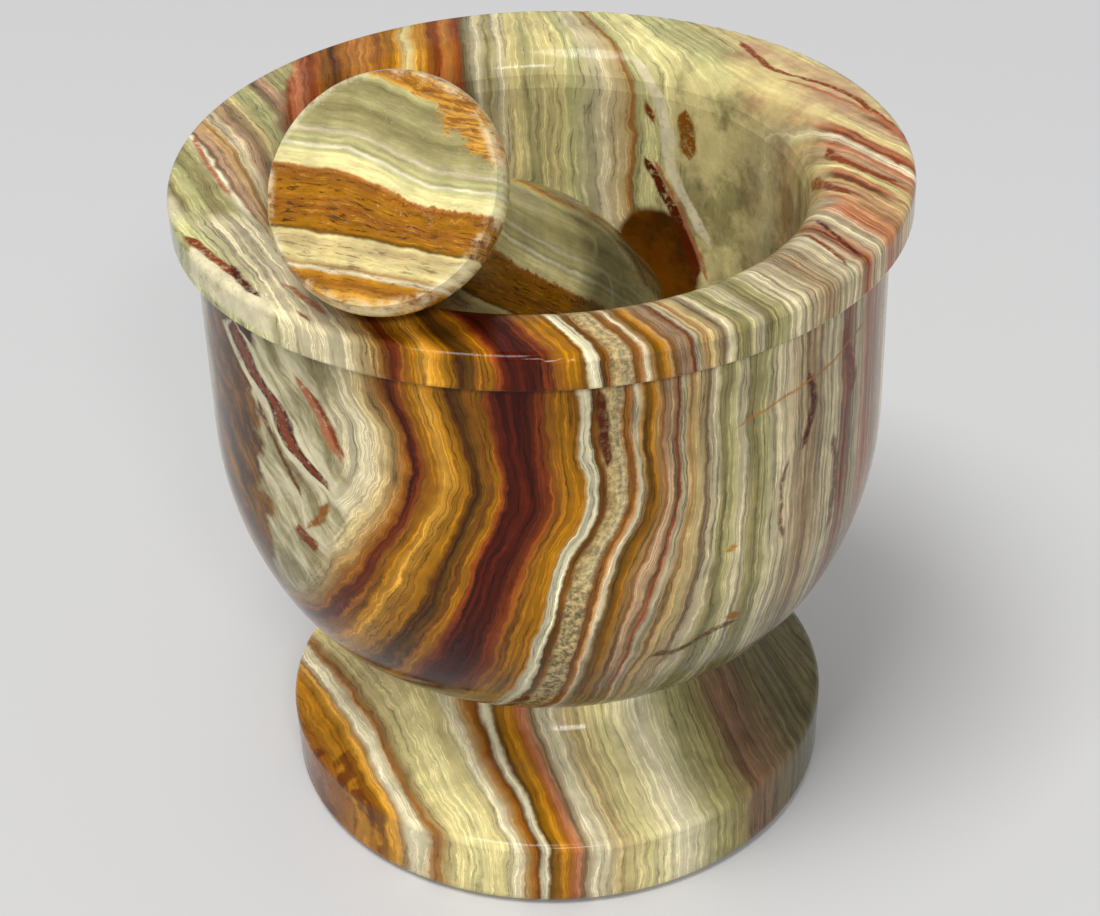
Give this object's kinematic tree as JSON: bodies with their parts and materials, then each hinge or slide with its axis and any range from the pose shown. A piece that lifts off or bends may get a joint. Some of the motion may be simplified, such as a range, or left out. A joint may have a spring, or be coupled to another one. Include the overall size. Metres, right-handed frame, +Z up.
{
  "type": "mortar and pestle",
  "caption": "Footed mortar turned from banded onyx with an overhanging rim, and a loose club-shaped pestle leaning in its bowl.",
  "frame": {"origin": "middle of the foot's flat underside, on the surface that the mortar stands on", "axes": "+Z up along the mortar's axis, -Y towards the front where the pestle's stem leans on the lip, +X to the right"},
  "size_m": [0.102, 0.102, 0.1278],
  "materials": {
    "mortar_onyx": "polished banded onyx, green, cream, ochre and maroon",
    "pestle_onyx": "polished banded onyx, sage green, cream and brown"
  },
  "bodies": {
    "mortar": {"mortar": "mortar_onyx"},
    "pestle": {"pestle": "pestle_onyx"}
  },
  "joints": [
    {"name": "pestle_lift", "type": "slide", "parent": "mortar", "child": "pestle", "axis": [0, 0, 1], "range_m": [0, 0.08]}
  ]
}
